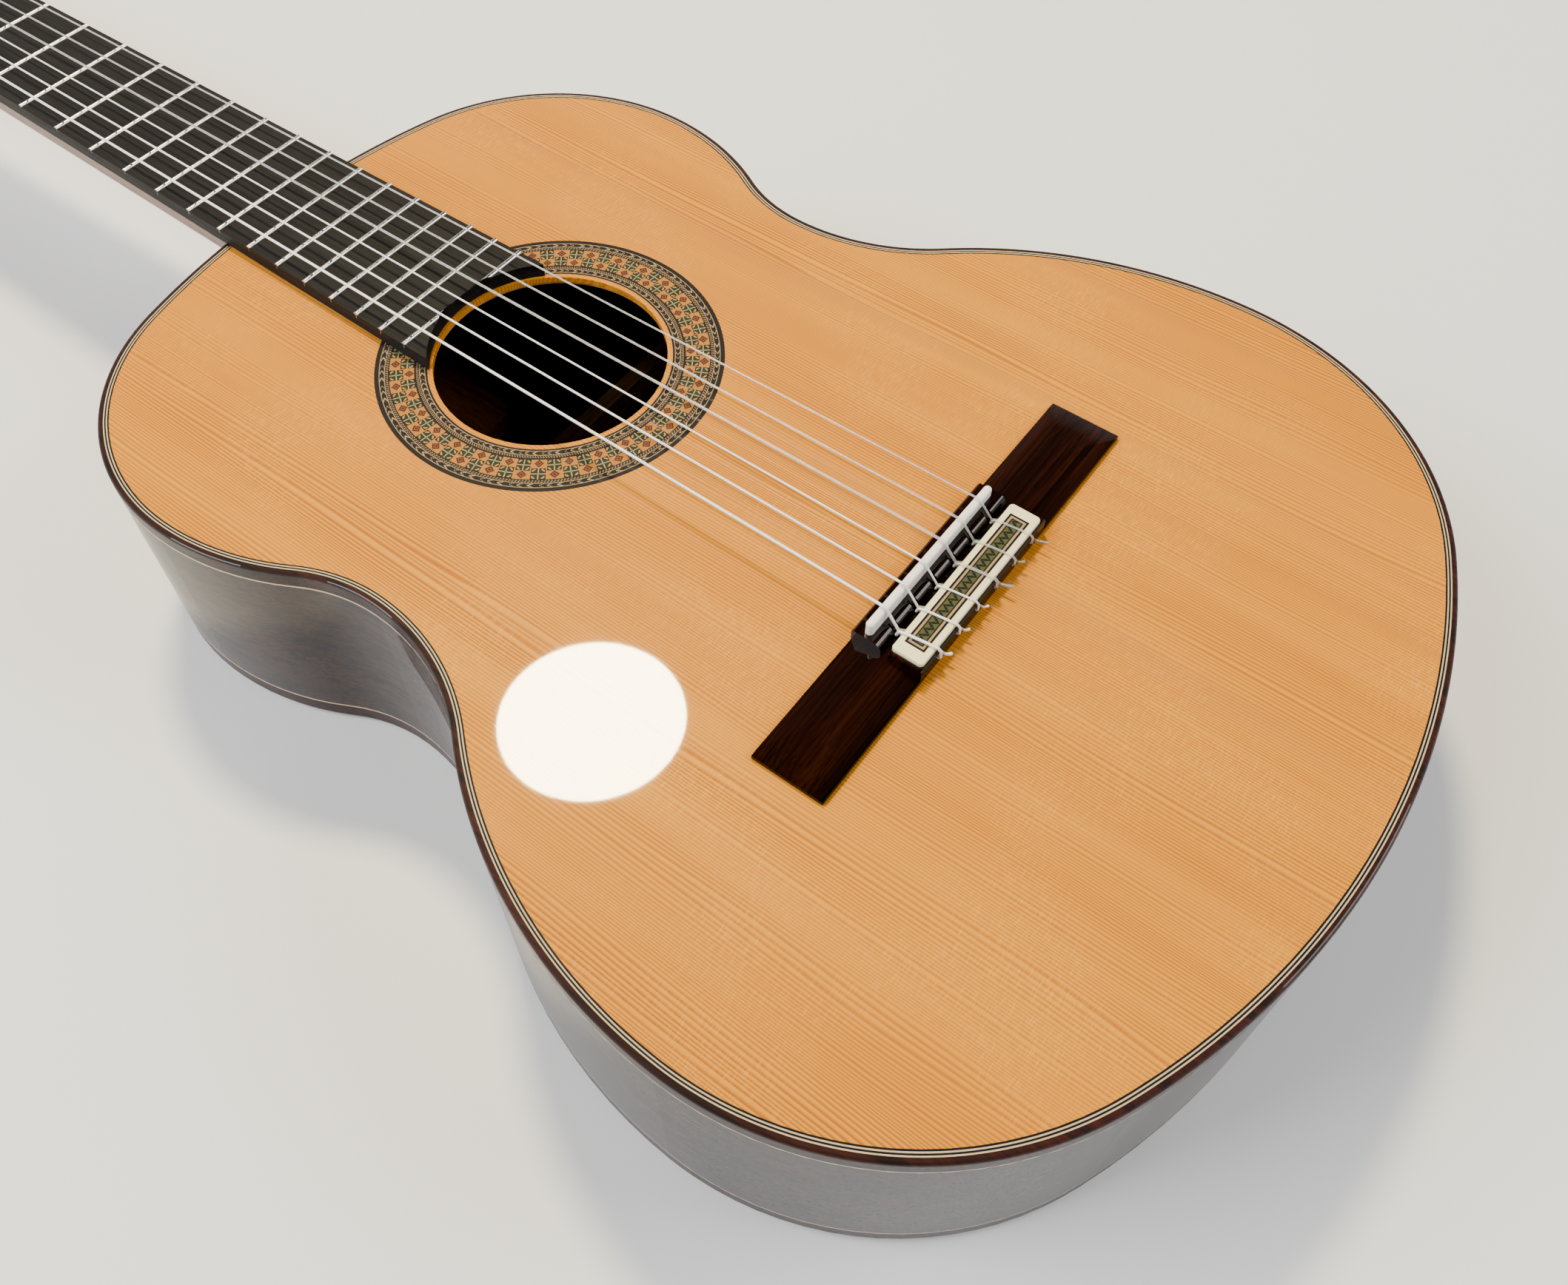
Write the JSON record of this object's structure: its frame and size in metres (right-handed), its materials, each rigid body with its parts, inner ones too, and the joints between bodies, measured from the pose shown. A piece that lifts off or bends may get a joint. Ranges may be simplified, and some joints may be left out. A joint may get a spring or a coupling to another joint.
{
  "type": "classical guitar",
  "caption": "Nylon-strung classical guitar on its back: figure-eight body, mosaic rosette, tie bridge, slotted head with geared tuners.",
  "frame": {"origin": "on the surface it lies on, under the middle of the whole instrument: the centre of the bounding box's base", "axes": "+Z out of the soundboard, +Y from the tail towards the head, +X to the treble side"},
  "size_m": [0.373, 1.0062, 0.1105],
  "materials": {
    "spruce": "gloss",
    "inner_wood": "raw",
    "rosewood": "gloss",
    "cedar": "gloss",
    "ebony": "satin",
    "marquetry": "gloss",
    "line_wood": "gloss",
    "bone": "satin",
    "nickel_silver": "bright",
    "wound_string": "satin",
    "nylon": "gloss",
    "brass": "bright",
    "steel": "bright",
    "pearloid": "gloss"
  },
  "bodies": {
    "instrument": {"soundboard": "spruce", "rosette_inner_border": "marquetry", "rosette_mosaic": "marquetry", "rosette_outer_border": "marquetry", "soundhole_patch": "inner_wood", "harmonic_bars": "inner_wood", "fan_struts": "inner_wood", "back_plate": "rosewood", "back_centre_strip": "inner_wood", "back_bars": "inner_wood", "bass_side": "rosewood", "treble_side": "rosewood", "end_graft": "rosewood", "top_linings": "inner_wood", "back_linings": "inner_wood", "tail_block": "inner_wood", "top_binding": "rosewood", "top_purfling": "line_wood", "side_purfling_lines": "line_wood", "back_binding": "rosewood", "neck": "cedar", "heel": "cedar", "heel_cap": "rosewood", "headstock": "cedar", "head_veneer": "rosewood", "fingerboard": "ebony", "frets": "nickel_silver", "nut": "bone", "bridge": "rosewood", "saddle": "bone", "tie_block_bone": "bone", "tie_block_mosaic": "marquetry", "string_1": "nylon", "string_2": "nylon", "string_3": "nylon", "string_4": "wound_string", "string_5": "wound_string", "string_6": "wound_string", "tuner_plate_treble": "brass", "tuner_plate_bass": "brass", "plate_screws": "brass"},
    "worm_body_1": {"worm_1": "brass", "button_1": "pearloid"},
    "roller_body_1": {"roller_1": "bone"},
    "worm_body_2": {"worm_2": "brass", "button_2": "pearloid"},
    "roller_body_2": {"roller_2": "bone"},
    "worm_body_3": {"worm_3": "brass", "button_3": "pearloid"},
    "roller_body_3": {"roller_3": "bone"},
    "worm_body_4": {"worm_4": "brass", "button_4": "pearloid"},
    "roller_body_4": {"roller_4": "bone"},
    "worm_body_5": {"worm_5": "brass", "button_5": "pearloid"},
    "roller_body_5": {"roller_5": "bone"},
    "worm_body_6": {"worm_6": "brass", "button_6": "pearloid"},
    "roller_body_6": {"roller_6": "bone"}
  },
  "joints": [
    {"name": "button_turn_1", "type": "hinge", "parent": "instrument", "child": "worm_body_1", "pos_m": [0.0417, 0.38053, 0.07207], "axis": [0, 0.2588, 0.9659], "continuous": true},
    {"name": "roller_turn_1", "type": "hinge", "parent": "instrument", "child": "roller_body_1", "pos_m": [0.02, 0.37242, 0.07424], "axis": [1, 0, 0], "continuous": true},
    {"name": "button_turn_2", "type": "hinge", "parent": "instrument", "child": "worm_body_2", "pos_m": [0.0417, 0.41434, 0.06301], "axis": [0, 0.2588, 0.9659], "continuous": true},
    {"name": "roller_turn_2", "type": "hinge", "parent": "instrument", "child": "roller_body_2", "pos_m": [0.02, 0.40623, 0.06519], "axis": [1, 0, 0], "continuous": true},
    {"name": "button_turn_3", "type": "hinge", "parent": "instrument", "child": "worm_body_3", "pos_m": [0.0417, 0.44815, 0.05395], "axis": [0, 0.2588, 0.9659], "continuous": true},
    {"name": "roller_turn_3", "type": "hinge", "parent": "instrument", "child": "roller_body_3", "pos_m": [0.02, 0.44003, 0.05613], "axis": [1, 0, 0], "continuous": true},
    {"name": "button_turn_4", "type": "hinge", "parent": "instrument", "child": "worm_body_4", "pos_m": [-0.0417, 0.44815, 0.05395], "axis": [0, 0.2588, 0.9659], "continuous": true},
    {"name": "roller_turn_4", "type": "hinge", "parent": "instrument", "child": "roller_body_4", "pos_m": [-0.02, 0.44003, 0.05613], "axis": [1, 0, 0], "continuous": true},
    {"name": "button_turn_5", "type": "hinge", "parent": "instrument", "child": "worm_body_5", "pos_m": [-0.0417, 0.41434, 0.06301], "axis": [0, 0.2588, 0.9659], "continuous": true},
    {"name": "roller_turn_5", "type": "hinge", "parent": "instrument", "child": "roller_body_5", "pos_m": [-0.02, 0.40623, 0.06519], "axis": [1, 0, 0], "continuous": true},
    {"name": "button_turn_6", "type": "hinge", "parent": "instrument", "child": "worm_body_6", "pos_m": [-0.0417, 0.38053, 0.07207], "axis": [0, 0.2588, 0.9659], "continuous": true},
    {"name": "roller_turn_6", "type": "hinge", "parent": "instrument", "child": "roller_body_6", "pos_m": [-0.02, 0.37242, 0.07424], "axis": [1, 0, 0], "continuous": true}
  ],
  "couplings": [
    {"joint": "roller_turn_1", "follows": "button_turn_1", "ratio": -0.071429},
    {"joint": "roller_turn_2", "follows": "button_turn_2", "ratio": -0.071429},
    {"joint": "roller_turn_3", "follows": "button_turn_3", "ratio": -0.071429},
    {"joint": "roller_turn_4", "follows": "button_turn_4", "ratio": 0.071429},
    {"joint": "roller_turn_5", "follows": "button_turn_5", "ratio": 0.071429},
    {"joint": "roller_turn_6", "follows": "button_turn_6", "ratio": 0.071429}
  ]
}
